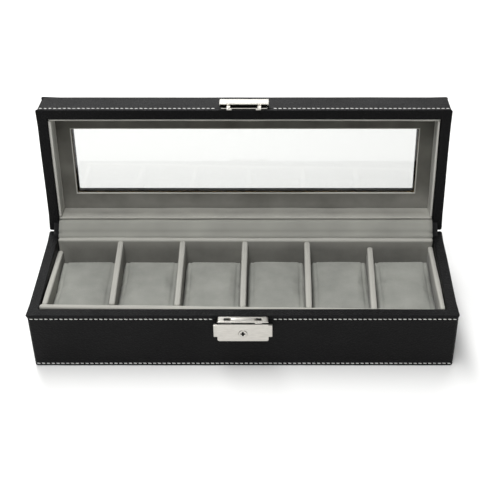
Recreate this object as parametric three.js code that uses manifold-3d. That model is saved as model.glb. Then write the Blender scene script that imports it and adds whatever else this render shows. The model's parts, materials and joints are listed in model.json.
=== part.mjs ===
// Leather-wrapped watch box: a base with six cushioned compartments and a hinged lid with a glass window.
// Millimetres, +Z up, the front towards -Y, origin at the centre of the underside. The lid stands open.
import * as THREE from 'three'
import { mergeVertices } from 'three/addons/utils/BufferGeometryUtils.js'
import Module from 'manifold-3d'

const wasm = await Module()
wasm.setup()

// ---- Driving dimensions ----------------------------------------------------------------------
const box_width = 337 // X, over the leather
const box_depth = 112 // Y, over the leather
const base_height = 53 // underside to the base rim
const lid_height = 27.5 // lid rim to the lid top
const rim_gap = 0.5 // base rim to lid rim when shut
const lid_open_deg = 95.5
const glue_gap = 0.3 // glue line between two pieces that are fixed to each other
const corner_radius = 2.5 // upright corners of the leather

// Walls: leather, board and leather turned in over the rim.
const leather = 0.8
const wall_board = 6
const turn_in = 12 // leather turned down inside each rim
const foot_turn_in = 12 // leather turned under the base
const foot_height = 0.2 // leather starts this far above the felt's underside
const bottom_board = 4
const underside_felt = 1

// Velvet lining of the base.
const compartments = 6
const liner = 4.5
const divider = 4.8
const floor_pad = 2
const liner_rise = 0.6 // lining stands this far above the rim
const liner_gap = 0.3

// Cushions.
const cushion_height = 33
const cushion_side_gap = 1
const cushion_front_gap = 1.6
const cushion_back_gap = 12 // room behind for the watch strap's loop
const cushion_corner = 5

// Lid.
const lid_board = 3
const glass = 1.8
const glass_overlap = 8
const window_width = 289
const window_depth = 58
const window_frame = 1.5
const window_frame_setback = 1.2 // velvet frame's opening is larger than the leather one
const lid_liner = 2
const lid_liner_recess = 1.8 // lid lining stops short of the lid rim

// Gusset: cloth strip that bridges the two rims at the back.
const gusset = 0.5
const gusset_tuck_base = 9
const gusset_tuck_lid = 8

// Back hinges: two flat butt hinges with three knuckles each.
const hinge_spacing = 210
const hinge_length = 26
const leaf = 1
const leaf_sink = 0.1 // leaf lies this far below the leather
const knuckle_radius = 2
const hinge_pin_radius = 0.9
const pin_clearance = 0.1
const knuckle_clearance = 0.4
const pivot_proud = 0.5 // pin axis stands this far behind the back
const screw_spacing = 14
const screw_shank_radius = 0.8
const screw_head_radius = 1.7
const screw_head_height = 0.8
const screw_length = 8
const screw_clearance = 0.2

// Press lock on the front.
const lock_width = 40
const lock_height = 20
const lock_depth = 6
const lock_drop = 0.8 // lock top below the base rim
const lock_shell = 0.9
const lock_corner = 1.5
const groove_drop = 0.7 // groove that parts the lock's top edge from its face
const groove_height = 2
const groove_depth = 0.5
const plate = 0.8 // back plate and hook plate
const plate_margin = 0.3
const rivet_radius = 1.2
const rivet_length = 5
const rivet_spacing = 26
const button_height = 12
const button_rise = 9.2 // middle of the buttons above the lock's lower edge
const button_proud = 3
const button_depth = 2
const button_shoulder = 2
const latch_bar = 0.6
const barb = 1.3
const barb_height = 1.3
const latch_gap = 0.3
const latch_lip_width = 2
const latch_lip_height = 1
const hook_x = 12.4
const hook_width = 2.8
const hook_thickness = 1.2
const hook_reach = 6.6 // hook below the lid rim
const slot_clearance = 0.6
const spring_radius = 0.8
const spring_wire = 0.3
const spring_turns = 6
const spring_post = 1
const spring_post_x = 2.4
const spring_post_rise = 0.3 // post's top above the spring's middle
const key_rise = 7.6 // middle of the key barrel above the lock's lower edge
const key_barrel_radius = 3.2
const key_barrel_proud = 0.3
const key_cam_length = 4.8
const key_cam_width = 1.1
const key_slot_width = 1
const key_slot_length = 3.6
const key_slot_depth = 1.6
const catch_setback = 1 // cover stops short of the lid rim
const catch_height = 9.7
const catch_clearance = 0.1 // between the hooks and the cover's front
const catch_shell = 1

// ---- Worked-out places -----------------------------------------------------------------------
const half_w = box_width / 2
const half_d = box_depth / 2
const skin = leather + glue_gap
const board_w = half_w - skin
const board_d = half_d - skin
const cavity_w = board_w - wall_board
const cavity_d = board_d - wall_board
const inner_w = cavity_w - skin
const inner_d = cavity_d - skin

const base_rim = base_height
const lid_rim = base_rim + rim_gap
const lid_top = lid_rim + lid_height
const pivot_y = half_d + pivot_proud
const pivot_z = base_rim + rim_gap / 2

const bottom_board_z = underside_felt + glue_gap
const floor_z = bottom_board_z + bottom_board + glue_gap
const liner_z = floor_z + floor_pad + glue_gap
const liner_top = base_rim + liner_rise
const liner_w = inner_w - liner_gap
const liner_front_y = -inner_d + liner_gap
const liner_back_y = inner_d - 2 * liner_gap - gusset
const slot_front_y = liner_front_y + liner
const slot_back_y = liner_back_y - liner
const lining_inner_w = liner_w - liner
const slot_width = (2 * lining_inner_w - (compartments - 1) * divider) / compartments
const slot_pitch = slot_width + divider

const lid_board_z = lid_top - skin - lid_board
const glass_z = lid_board_z - glue_gap - glass
const window_frame_z = glass_z - glue_gap - window_frame
const lid_liner_z = lid_rim + lid_liner_recess
const half_window_w = window_width / 2
const half_window_d = window_depth / 2

const base_leaf_top = base_rim - leaf_sink
const lid_leaf_z = lid_rim + leaf_sink
const leaf_inner_y = inner_d + leather + 2 * glue_gap
const screw_y = (leaf_inner_y + half_d - knuckle_radius) / 2
const knuckle_length = (hinge_length - 2 * knuckle_clearance) / 3

const lock_back_y = -half_d - glue_gap
const lock_front_y = lock_back_y - lock_depth
const lock_top = base_rim - lock_drop
const lock_z = lock_top - lock_height
const button_z = lock_z + button_rise
const key_z = lock_z + key_rise
const lock_half = lock_width / 2
const bay_half = lock_half - lock_shell
const bay_front_y = lock_front_y + lock_shell
const bay_z = lock_z + lock_shell
const bay_top = lock_top - lock_shell
const plate_back_y = lock_back_y - plate_margin
const plate_front_y = plate_back_y - plate
const button_front_y = bay_front_y + latch_gap
const hook_front_y = button_front_y + latch_bar + latch_gap
const hook_back_y = hook_front_y + hook_thickness
const hook_z = lid_rim - hook_reach
const button_back_y = plate_front_y - latch_gap
const spring_z = bay_z + spring_radius + spring_wire + 2 * latch_gap
const catch_back_y = lock_back_y
const catch_front_y = hook_front_y - catch_clearance - catch_shell
const catch_z = lid_rim + catch_setback
const catch_top = catch_z + catch_height

// ---- Solids ----------------------------------------------------------------------------------
function solidOf(geometry) {
  geometry.deleteAttribute('normal')
  geometry.deleteAttribute('uv')
  const merged = mergeVertices(geometry, 1e-4)
  const vertProperties = merged.attributes.position.array
  const triVerts = Uint32Array.from(merged.index.array)
  return new wasm.Manifold(new wasm.Mesh({ numProp: 3, vertProperties, triVerts }))
}

function geometryOf(solid) {
  const mesh = solid.getMesh()
  const geometry = new THREE.BufferGeometry()
  geometry.setAttribute('position', new THREE.BufferAttribute(mesh.vertProperties, 3))
  geometry.setIndex(new THREE.BufferAttribute(mesh.triVerts, 1))
  return geometry
}

// A block between two values on each axis.
function block([x0, x1], [y0, y1], [z0, z1]) {
  const geometry = new THREE.BoxGeometry(x1 - x0, y1 - y0, z1 - z0)
  geometry.translate((x0 + x1) / 2, (y0 + y1) / 2, (z0 + z1) / 2)
  return solidOf(geometry)
}

function roundedRectangle(half_x, half_y, radius) {
  const shape = new THREE.Shape()
  const x = half_x - radius
  const y = half_y - radius
  shape.absarc(x, y, radius, 0, Math.PI / 2)
  shape.absarc(-x, y, radius, Math.PI / 2, Math.PI)
  shape.absarc(-x, -y, radius, Math.PI, 1.5 * Math.PI)
  shape.absarc(x, -y, radius, 1.5 * Math.PI, 2 * Math.PI)
  return shape
}

// A centred upright prism with rounded corners between two heights, in either order.
function slab(half_x, half_y, radius, z0, z1) {
  const low = Math.min(z0, z1)
  const depth = Math.abs(z1 - z0)
  if (radius === 0) return block([-half_x, half_x], [-half_y, half_y], [low, low + depth])
  const shape = roundedRectangle(half_x, half_y, radius)
  const options = { depth, bevelEnabled: false, curveSegments: 4 }
  return solidOf(new THREE.ExtrudeGeometry(shape, options).translate(0, 0, low))
}

// A rod along one axis between two values on it; the other two coordinates are its centre.
function rod(axis, radius, from, to, [u, v], sides = 16) {
  const geometry = new THREE.CylinderGeometry(radius, radius, to - from, sides)
  const middle = (from + to) / 2
  if (axis === 'x') geometry.rotateZ(Math.PI / 2).translate(middle, u, v)
  if (axis === 'y') geometry.translate(u, middle, v)
  if (axis === 'z') geometry.rotateX(Math.PI / 2).translate(u, v, middle)
  return solidOf(geometry)
}

function union(solids) {
  return wasm.Manifold.union(solids)
}

// ---- Materials -------------------------------------------------------------------------------
function finish(color, roughness, metalness) {
  return new THREE.MeshStandardMaterial({ color, roughness, metalness })
}
const leather_black = finish(0x1c1c1d, 0.55, 0)
const velvet_grey = finish(0x989892, 0.95, 0)
const cloth_grey = finish(0x8c8c86, 0.9, 0)
const fibreboard = finish(0x8a6f4e, 0.9, 0)
const felt_black = finish(0x202022, 0.95, 0)
const clear_glass = finish(0xe8f0ee, 0.05, 0)
const nickel = finish(0xd2cfc8, 0.25, 1)
const spring_steel = finish(0x9a9a9c, 0.35, 1)

const group = new THREE.Group()
group.name = 'watch_box'
const lid = new THREE.Group()
lid.position.set(0, pivot_y, pivot_z)
lid.rotation.x = THREE.MathUtils.degToRad(-lid_open_deg)
group.add(lid)

// Lid pieces are drawn shut, then swing about the pin axis with their group.
function add(name, solid, material, parent = group) {
  const geometry = geometryOf(solid)
  if (parent === lid) geometry.translate(0, -pivot_y, -pivot_z)
  const mesh = new THREE.Mesh(geometry, material)
  mesh.name = name
  parent.add(mesh)
}

// ---- Walls and leather -----------------------------------------------------------------------
// Ring of leather over the four walls: outside, rim and the part turned in along the inside.
function leatherRing(rim, edge) {
  const up = Math.sign(rim - edge)
  const outside = slab(half_w, half_d, corner_radius, rim, edge)
  const boards = slab(board_w + glue_gap, board_d + glue_gap, corner_radius - leather, rim - up * leather, edge - up)
  const turned = slab(inner_w + leather, inner_d + leather, 0, rim, rim - up * turn_in)
  const opening = slab(inner_w, inner_d, 0, rim + up, edge - up)
  return outside.subtract(boards).add(turned).subtract(opening)
}

function footFlange() {
  const outer = slab(half_w, half_d, corner_radius, foot_height, foot_height + leather)
  const inside = slab(half_w - foot_turn_in, half_d - foot_turn_in, 0, 0, base_height)
  return outer.subtract(inside)
}

// Four wall boards between two heights: the long ones run through, the short ones stand between them.
function wallBoards(z0, z1) {
  const outer = slab(board_w, board_d, corner_radius - leather, z0, z1)
  const ring = outer.subtract(slab(cavity_w, cavity_d, 0, z0 - 1, z1 + 1))
  const span = cavity_d - glue_gap
  return {
    front: ring.intersect(block([-half_w, half_w], [-half_d, -cavity_d], [z0, z1])),
    back: ring.intersect(block([-half_w, half_w], [cavity_d, half_d], [z0, z1])),
    left: ring.intersect(block([-half_w, 0], [-span, span], [z0, z1])),
    right: ring.intersect(block([0, half_w], [-span, span], [z0, z1])),
  }
}

// ---- Hinges ----------------------------------------------------------------------------------
const hinges = { left: -hinge_spacing / 2, right: hinge_spacing / 2 }
const screws = { outer: -screw_spacing / 2, inner: screw_spacing / 2 }

// Room for one leaf, its screws and the knuckles, cut from the wall and its leather.
function hingeCut(x, up, leaf_far) {
  const half = hinge_length / 2 + glue_gap
  const z0 = leaf_far + up * glue_gap
  const z1 = leaf_far - up * (leaf + leaf_sink + rim_gap)
  const seat = block(
    [x - half, x + half],
    [leaf_inner_y - glue_gap, pivot_y + knuckle_radius],
    [Math.min(z0, z1), Math.max(z0, z1)],
  )
  const barrel = rod('x', knuckle_radius + knuckle_clearance, x - half, x + half, [pivot_y, pivot_z])
  const reach = up * (screw_length + glue_gap)
  const holes = Object.values(screws).map((dx) => {
    const ends = [leaf_far, leaf_far + reach].sort((a, b) => a - b)
    return rod('z', screw_shank_radius + screw_clearance, ends[0], ends[1], [x + dx, screw_y])
  })
  return union([seat, barrel, ...holes])
}

const base_leaf_z = base_leaf_top - leaf
const lid_leaf_top = lid_leaf_z + leaf
const base_hinge_cut = union(Object.values(hinges).map((x) => hingeCut(x, -1, base_leaf_z)))
const lid_hinge_cut = union(Object.values(hinges).map((x) => hingeCut(x, 1, lid_leaf_top)))

// Countersunk screw: its head's flat face at z = face, pointing away from up.
function screwSolid(x, y, face, up, clearance = 0) {
  const shank = screw_shank_radius + clearance
  const head = screw_head_radius + clearance
  const profile = [
    new THREE.Vector2(0, -clearance),
    new THREE.Vector2(head, -clearance),
    new THREE.Vector2(shank, screw_head_height + clearance),
    new THREE.Vector2(shank, screw_length),
    new THREE.Vector2(0, screw_length),
  ]
  const geometry = new THREE.LatheGeometry(profile, 12)
  geometry.rotateX((up * -Math.PI) / 2 + Math.PI).translate(x, y, face)
  return solidOf(geometry)
}

// Hinge leaf with its knuckles; ranges holds the knuckles' X spans about the hinge's middle.
function leafSolid(x, z0, up, ranges, free) {
  const face = up > 0 ? z0 : z0 + leaf
  let solid = block([x - hinge_length / 2, x + hinge_length / 2], [leaf_inner_y, pivot_y], [z0, z0 + leaf])
  const root_y = pivot_y - knuckle_radius - knuckle_clearance
  for (const [a, b] of free) {
    solid = solid.subtract(block([x + a, x + b], [root_y, pivot_y + 1], [z0 - 1, z0 + leaf + 1]))
  }
  for (const [a, b] of ranges) {
    solid = solid.add(rod('x', knuckle_radius, x + a, x + b, [pivot_y, pivot_z]))
  }
  const bore = hinge_pin_radius + pin_clearance
  solid = solid.subtract(rod('x', bore, x - hinge_length, x + hinge_length, [pivot_y, pivot_z]))
  for (const dx of Object.values(screws)) {
    solid = solid.subtract(screwSolid(x + dx, screw_y, face, up, screw_clearance))
  }
  return solid
}

function addHinge(side, x) {
  const half = hinge_length / 2
  const mid = knuckle_length / 2
  const gap = knuckle_clearance
  const outer = [[-half, -mid - gap], [mid + gap, half]]
  const middle = [[-mid, mid]]
  const middle_room = [[-mid - gap, mid + gap]]
  const outer_room = [[-half - 1, -mid], [mid, half + 1]]
  add(`hinge_leaf_base_${side}`, leafSolid(x, base_leaf_z, -1, outer, middle_room), nickel)
  add(`hinge_leaf_lid_${side}`, leafSolid(x, lid_leaf_z, 1, middle, outer_room), nickel, lid)
  add(`hinge_pin_${side}`, rod('x', hinge_pin_radius, x - half, x + half, [pivot_y, pivot_z]), nickel)
  for (const [place, dx] of Object.entries(screws)) {
    add(`base_screw_${side}_${place}`, screwSolid(x + dx, screw_y, base_leaf_top, -1), nickel)
    add(`lid_screw_${side}_${place}`, screwSolid(x + dx, screw_y, lid_leaf_z, 1), nickel, lid)
  }
}

// ---- Rivets of the lock and the catch --------------------------------------------------------
function rivets(z, radius, reach) {
  const y0 = plate_front_y
  const y1 = -half_d + reach
  const places = [-rivet_spacing / 2, rivet_spacing / 2]
  return union(places.map((x) => rod('y', radius, y0, y1, [x, z], 10)))
}
const catch_mid_z = (catch_z + catch_top) / 2
const rivet_room = rivet_radius + glue_gap
const rivet_hole_depth = rivet_length + glue_gap

// ---- Base ------------------------------------------------------------------------------------
function addBase() {
  const felt_inset = foot_turn_in + glue_gap
  const felt = slab(half_w - felt_inset, half_d - felt_inset, 0, 0, underside_felt)
  add('underside_felt', felt, felt_black)
  const bottom_w = cavity_w - glue_gap
  const bottom_d = cavity_d - glue_gap
  const bottom = slab(bottom_w, bottom_d, 0, bottom_board_z, bottom_board_z + bottom_board)
  add('base_board_bottom', bottom, fibreboard)
  const boards = wallBoards(bottom_board_z, base_rim - skin)
  const rivet_holes = rivets(key_z, rivet_room, rivet_hole_depth)
  add('base_board_front', boards.front.subtract(rivet_holes), fibreboard)
  add('base_board_back', boards.back.subtract(base_hinge_cut), fibreboard)
  add('base_board_left', boards.left, fibreboard)
  add('base_board_right', boards.right, fibreboard)
  const wrap = leatherRing(base_rim, foot_height).add(footFlange())
  add('base_leather_wrap', wrap.subtract(base_hinge_cut).subtract(rivet_holes), leather_black)
}

function addLining() {
  const full = [-liner_w, liner_w]
  const walls = [liner_z, liner_top]
  const between = [slot_front_y + glue_gap, slot_back_y - glue_gap]
  add('liner_floor', block(full, [liner_front_y, liner_back_y], [floor_z, floor_z + floor_pad]), velvet_grey)
  add('liner_front', block(full, [liner_front_y, slot_front_y], walls), velvet_grey)
  add('liner_back', block(full, [slot_back_y, liner_back_y], walls), velvet_grey)
  add('liner_left', block([-liner_w, -lining_inner_w], between, walls), velvet_grey)
  add('liner_right', block([lining_inner_w, liner_w], between, walls), velvet_grey)
  for (let i = 1; i < compartments; i += 1) {
    const x = -lining_inner_w + i * slot_pitch - divider / 2
    add(`divider_${i}`, block([x - divider / 2, x + divider / 2], between, walls), velvet_grey)
  }
}

function addCushions() {
  const half_x = slot_width / 2 - cushion_side_gap
  const front_y = slot_front_y + cushion_front_gap
  const back_y = slot_back_y - cushion_back_gap
  const half_y = (back_y - front_y) / 2
  const y = (back_y + front_y) / 2
  for (let i = 0; i < compartments; i += 1) {
    const x = -lining_inner_w + slot_width / 2 + i * slot_pitch
    const cushion = slab(half_x, half_y, cushion_corner, liner_z, liner_z + cushion_height)
    add(`cushion_${i + 1}`, cushion.translate(x, y, 0), cloth_grey)
  }
}

// ---- Lid -------------------------------------------------------------------------------------
function windowHole(grow, z0, z1) {
  return slab(half_window_w + grow, half_window_d + grow, 0, z0, z1)
}

function addLidShell() {
  const boards = wallBoards(lid_rim + skin, lid_board_z - glue_gap)
  const rivet_holes = rivets(catch_mid_z, rivet_room, rivet_hole_depth)
  add('lid_board_front', boards.front.subtract(rivet_holes), fibreboard, lid)
  add('lid_board_back', boards.back.subtract(lid_hinge_cut), fibreboard, lid)
  add('lid_board_left', boards.left, fibreboard, lid)
  add('lid_board_right', boards.right, fibreboard, lid)
  const top_board = slab(board_w, board_d, corner_radius - leather, lid_board_z, lid_top - skin)
  const board_hole = windowHole(skin, lid_board_z - 1, lid_top)
  add('lid_board_top', top_board.subtract(board_hole), fibreboard, lid)
  const side_top = lid_top - skin
  const side_wrap = leatherRing(lid_rim, side_top).subtract(lid_hinge_cut).subtract(rivet_holes)
  add('lid_side_wrap', side_wrap, leather_black, lid)
  const sheet = slab(half_w, half_d, corner_radius, lid_top - leather, lid_top)
  const edge = windowHole(leather, lid_board_z, lid_top)
  const top_wrap = sheet.add(edge).subtract(windowHole(0, lid_board_z - 1, lid_top + 1))
  add('lid_top_wrap', top_wrap, leather_black, lid)
}

function addLidInside() {
  const pane = slab(half_window_w + glass_overlap, half_window_d + glass_overlap, 0, glass_z, glass_z + glass)
  add('lid_glass', pane, clear_glass, lid)
  const frame_w = cavity_w - glue_gap
  const frame_d = cavity_d - glue_gap
  const panel = slab(frame_w, frame_d, 0, window_frame_z, window_frame_z + window_frame)
  const hole = windowHole(window_frame_setback, window_frame_z - 1, glass_z)
  add('lid_window_frame', panel.subtract(hole), velvet_grey, lid)
  const walls = [lid_liner_z, window_frame_z - glue_gap]
  const full = [-liner_w, liner_w]
  const front_in = liner_front_y + lid_liner
  const back_in = liner_back_y - lid_liner
  const between = [front_in + glue_gap, back_in - glue_gap]
  add('lid_liner_front', block(full, [liner_front_y, front_in], walls), velvet_grey, lid)
  add('lid_liner_back', block(full, [back_in, liner_back_y], walls), velvet_grey, lid)
  add('lid_liner_left', block([-liner_w, -liner_w + lid_liner], between, walls), velvet_grey, lid)
  add('lid_liner_right', block([liner_w - lid_liner, liner_w], between, walls), velvet_grey, lid)
}

// ---- Gusset ----------------------------------------------------------------------------------
// A point of the shut lid, carried to where the open lid holds it, as [y, z].
function swung(y, z) {
  const angle = THREE.MathUtils.degToRad(-lid_open_deg)
  const dy = y - pivot_y
  const dz = z - pivot_z
  const c = Math.cos(angle)
  const s = Math.sin(angle)
  return [pivot_y + dy * c - dz * s, pivot_z + dy * s + dz * c]
}

function addGusset() {
  const near = liner_back_y + liner_gap
  const far = near + gusset
  const base_end = base_rim - gusset_tuck_base
  const lid_end = lid_rim + gusset_tuck_lid
  const lip = gusset / 2
  const outline = [
    [near, base_end],
    [near, base_rim + lip],
    swung(near, lid_rim - lip),
    swung(near, lid_end),
    swung(far, lid_end),
    swung(far, lid_rim - lip),
    [far, base_rim + lip],
    [far, base_end],
  ]
  const shape = new THREE.Shape(outline.map(([y, z]) => new THREE.Vector2(y, z)))
  const geometry = new THREE.ExtrudeGeometry(shape, { depth: 2 * liner_w, bevelEnabled: false })
  // The outline's axes are Y and Z; the strip runs along X.
  geometry.applyMatrix4(new THREE.Matrix4().set(0, 0, 1, -liner_w, 1, 0, 0, 0, 0, 1, 0, 0, 0, 0, 0, 1))
  add('gusset', solidOf(geometry), velvet_grey)
}

// ---- Lock ------------------------------------------------------------------------------------
function hookSlots() {
  const y = [hook_front_y - slot_clearance, hook_back_y + slot_clearance]
  const far = hook_x + hook_width / 2 + slot_clearance
  const near = hook_x - hook_width / 2 - barb - slot_clearance
  const z = [bay_top - 1, lock_top + 1]
  return union([block([-far, -near], y, z), block([near, far], y, z)])
}

function addLockCase() {
  const shape = roundedRectangle(lock_half, lock_height / 2, lock_corner)
  const options = { depth: lock_depth, bevelEnabled: false, curveSegments: 3 }
  const outside = new THREE.ExtrudeGeometry(shape, options)
  outside.rotateX(Math.PI / 2).translate(0, lock_back_y, lock_z + lock_height / 2)
  const bay = block([-bay_half, bay_half], [bay_front_y, lock_back_y + 1], [bay_z, bay_top])
  const room = button_height / 2 + latch_gap
  const window_y = [button_front_y - latch_gap / 2, button_front_y + button_depth + latch_gap]
  const windows = block([-lock_half - 1, lock_half + 1], window_y, [button_z - room, button_z + room])
  const barrel_hole = rod('y', key_barrel_radius + latch_gap, lock_front_y - 1, bay_front_y + 1, [0, key_z], 20)
  const post_top = spring_z + spring_post_rise
  const post_y = [bay_front_y - latch_gap, button_back_y]
  const posts = [-1, 1].map((side) => {
    const xs = [side * spring_post_x, side * (spring_post_x + spring_post)].sort((a, b) => a - b)
    return block(xs, post_y, [bay_z - latch_gap, post_top])
  })
  const groove_top = lock_top - groove_drop
  const groove_y = [lock_front_y - 1, lock_front_y + groove_depth]
  const groove = block([-lock_half - 1, lock_half + 1], groove_y, [groove_top - groove_height, groove_top])
  const shell = solidOf(outside).subtract(union([bay, windows, barrel_hole, hookSlots(), groove]))
  add('lock_case', union([shell, ...posts]), nickel)
}

function addLockPlate() {
  const half = bay_half - plate_margin
  const z = [bay_z + plate_margin, bay_top - plate_margin]
  const sheet = block([-half, half], [plate_front_y, plate_back_y], z)
  add('lock_back_plate', sheet.add(rivets(key_z, rivet_radius, rivet_length)), nickel)
}

// Pinch button with its shoulder, cam arm, latch bar and latch lip; side is -1 for left, 1 for right.
function buttonSolid(side) {
  const across = (a, b) => [side * a, side * b].sort((p, q) => p - q)
  const shoulder_out = bay_half - latch_gap
  const shoulder_in = shoulder_out - button_shoulder
  const tab_y = [button_front_y, button_front_y + button_depth]
  const tab_z = [button_z - button_height / 2, button_z + button_height / 2]
  const tab = block(across(lock_half + button_proud, shoulder_in), tab_y, tab_z)
  const full_y = [button_front_y, button_back_y]
  const full_z = [bay_z + latch_gap, bay_top - latch_gap]
  const shoulder = block(across(shoulder_out, shoulder_in), full_y, full_z)
  const arm_y = [button_back_y - latch_bar, button_back_y]
  const arm_end = key_cam_length + 2 * latch_gap
  const arm = block(across(shoulder_in, arm_end), arm_y, [key_z - key_cam_width, key_z + key_cam_width])
  const lip_out = hook_x - hook_width / 2 - latch_gap
  const lip_in = lip_out - latch_lip_width
  const lip_z = hook_z + barb_height + latch_gap
  const bar_y = [button_front_y, button_front_y + latch_bar]
  const bar_z = [lip_z, lip_z + latch_lip_height]
  const bar = block(across(shoulder_in, lip_in), bar_y, bar_z)
  const lip = block(across(lip_out, lip_in), full_y, bar_z)
  return union([tab, shoulder, arm, bar, lip])
}

function addButtons() {
  add('lock_button_left', buttonSolid(-1), nickel)
  add('lock_button_right', buttonSolid(1), nickel)
}

// Coil spring between the post and the button's shoulder.
function springSolid(side) {
  const start = spring_post_x + spring_post + latch_gap + spring_wire
  const end = bay_half - latch_gap - button_shoulder - latch_gap - spring_wire
  const steps = spring_turns * 8
  const y = (button_front_y + button_back_y) / 2
  const points = []
  for (let i = 0; i <= steps; i += 1) {
    const angle = (i / 8) * 2 * Math.PI
    const x = side * THREE.MathUtils.lerp(start, end, i / steps)
    points.push(new THREE.Vector3(x, y + spring_radius * Math.cos(angle), spring_z + spring_radius * Math.sin(angle)))
  }
  const section = new THREE.Shape()
  section.absarc(0, 0, spring_wire / 2, 0, 2 * Math.PI)
  const extrudePath = new THREE.CatmullRomCurve3(points)
  return solidOf(new THREE.ExtrudeGeometry(section, { steps, extrudePath, curveSegments: 3 }))
}

function addLockInside() {
  add('button_spring_left', springSolid(-1), spring_steel)
  add('button_spring_right', springSolid(1), spring_steel)
  const cam_y = [button_back_y - latch_bar, button_back_y]
  const barrel = rod('y', key_barrel_radius, lock_front_y - key_barrel_proud, cam_y[0], [0, key_z], 20)
  const cam_z = [key_z - key_cam_length, key_z + key_cam_length]
  const cam = block([-key_cam_width, key_cam_width], cam_y, cam_z)
  const slot_y = [lock_front_y - 1, lock_front_y - key_barrel_proud + key_slot_depth]
  const half = key_slot_length / 2
  const slot = block([-key_slot_width / 2, key_slot_width / 2], slot_y, [key_z - half, key_z + half])
  add('key_barrel', barrel.add(cam).subtract(slot), nickel)
}

// ---- Catch -----------------------------------------------------------------------------------
function addCatch() {
  const outside = block([-lock_half, lock_half], [catch_front_y, catch_back_y], [catch_z, catch_top])
  const hollow_x = lock_half - catch_shell
  const hollow_z = [catch_z - 1, catch_top - catch_shell]
  const hollow = block([-hollow_x, hollow_x], [catch_front_y + catch_shell, catch_back_y + 1], hollow_z)
  add('catch_cover', outside.subtract(hollow), nickel, lid)
  const plate_half = hollow_x - plate_margin
  const plate_z = [catch_z + plate_margin, catch_top - catch_shell - plate_margin]
  const sheet = block([-plate_half, plate_half], [plate_front_y, plate_back_y], plate_z)
  const hooks = [-1, 1].map((side) => {
    const across = (a, b) => [side * a, side * b].sort((p, q) => p - q)
    const out = hook_x + hook_width / 2
    const into = hook_x - hook_width / 2
    const blade = block(across(out, into), [hook_front_y, hook_back_y], [hook_z, catch_mid_z])
    const neck = block(across(out, into), [hook_front_y, plate_back_y], [catch_mid_z - hook_thickness, catch_mid_z])
    const tooth = block(across(into, into - barb), [hook_front_y, hook_back_y], [hook_z, hook_z + barb_height])
    return union([blade, neck, tooth])
  })
  const fixings = rivets(catch_mid_z, rivet_radius, rivet_length)
  add('catch_hook_plate', union([sheet, fixings, ...hooks]), nickel, lid)
}

addBase()
addLining()
addCushions()
addLidShell()
addLidInside()
addGusset()
for (const [side, x] of Object.entries(hinges)) addHinge(side, x)
addLockCase()
addLockPlate()
addButtons()
addLockInside()
addCatch()

export default group
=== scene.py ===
# %% [markdown]
# # A leather watch box with six cushions and a windowed lid
# The CAD model fixes every size and every joint. This file gives the box its looks: leather drawn over the
# boards and sewn, velvet-covered lining, stuffed cushions, a cloth gusset and bright nickel hardware.

# %% Load the frame
import bpy
import bmesh
import json
import math
import random
from mathutils import Matrix, Vector, noise


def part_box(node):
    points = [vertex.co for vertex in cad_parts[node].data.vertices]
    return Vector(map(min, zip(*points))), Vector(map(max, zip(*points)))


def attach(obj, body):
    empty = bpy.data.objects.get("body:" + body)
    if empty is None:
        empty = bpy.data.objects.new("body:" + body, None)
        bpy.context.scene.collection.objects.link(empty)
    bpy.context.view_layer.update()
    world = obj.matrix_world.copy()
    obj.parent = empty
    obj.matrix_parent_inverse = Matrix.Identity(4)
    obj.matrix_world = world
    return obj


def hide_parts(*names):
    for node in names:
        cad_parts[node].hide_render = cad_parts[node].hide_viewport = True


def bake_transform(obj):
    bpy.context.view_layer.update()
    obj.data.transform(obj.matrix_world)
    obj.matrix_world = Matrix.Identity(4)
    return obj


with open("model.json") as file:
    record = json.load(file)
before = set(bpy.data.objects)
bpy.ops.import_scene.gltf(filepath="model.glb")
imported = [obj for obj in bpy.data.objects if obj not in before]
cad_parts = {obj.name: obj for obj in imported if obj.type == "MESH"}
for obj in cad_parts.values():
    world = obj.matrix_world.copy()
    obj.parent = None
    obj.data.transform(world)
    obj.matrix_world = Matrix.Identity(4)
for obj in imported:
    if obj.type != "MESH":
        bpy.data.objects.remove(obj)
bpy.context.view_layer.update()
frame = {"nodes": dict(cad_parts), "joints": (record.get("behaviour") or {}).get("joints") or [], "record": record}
MM = 0.001

# %% [markdown]
# The lid stands open. Its pieces are easier to shape on the shut box, where every wall is upright, so each
# one is made there and then swung about the hinge pin. The pin's place and the lid's angle come from the
# joint.

# %% The lid's swing
hinge = next(j for j in frame["joints"] if j["name"] == "lid_hinge")
pin = Vector(hinge["pos_m"])
lid_angle = math.radians(hinge["range_deg"][0])
swing = Matrix.Translation(pin) @ Matrix.Rotation(lid_angle, 4, "X") @ Matrix.Translation(-pin)
unswing = swing.inverted()


def shut_box(node):
    """The lowest and highest corner of a lid node on the shut box."""
    points = [unswing @ v.co for v in frame["nodes"][node].data.vertices]
    low = Vector([min(p[i] for p in points) for i in range(3)])
    high = Vector([max(p[i] for p in points) for i in range(3)])
    return low, high


print("lid opens by", round(-math.degrees(lid_angle), 1), "degrees")

# %% [markdown]
# ## Camera
# The lens is long, so the walls stay nearly parallel. A small sideways shift keeps the camera square to the
# box while the box sits a little left of the frame's middle.

# %% Camera
CAMERA_PLACE = Vector((24.2, -684.1, 589.6)) * MM
CAMERA_PITCH = 36.64  # degrees below the horizon
LENS = 78.2
SHIFT = -0.0613

camera_data = bpy.data.cameras.new("camera")
camera_data.lens = LENS
camera_data.shift_x = SHIFT
camera = bpy.data.objects.new("camera", camera_data)
camera.location = CAMERA_PLACE
camera.rotation_euler = (math.radians(90 - CAMERA_PITCH), 0, 0)
bpy.context.scene.collection.objects.link(camera)
bpy.context.scene.camera = camera
bpy.context.scene.view_settings.view_transform = "Standard"
print("camera lens in mm:", LENS)

# %% [markdown]
# ## Materials
# One function turns a hex colour to the linear light that shaders work in, and one adds a node with its
# settings and links. Everything else is said where a material is made.

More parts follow.
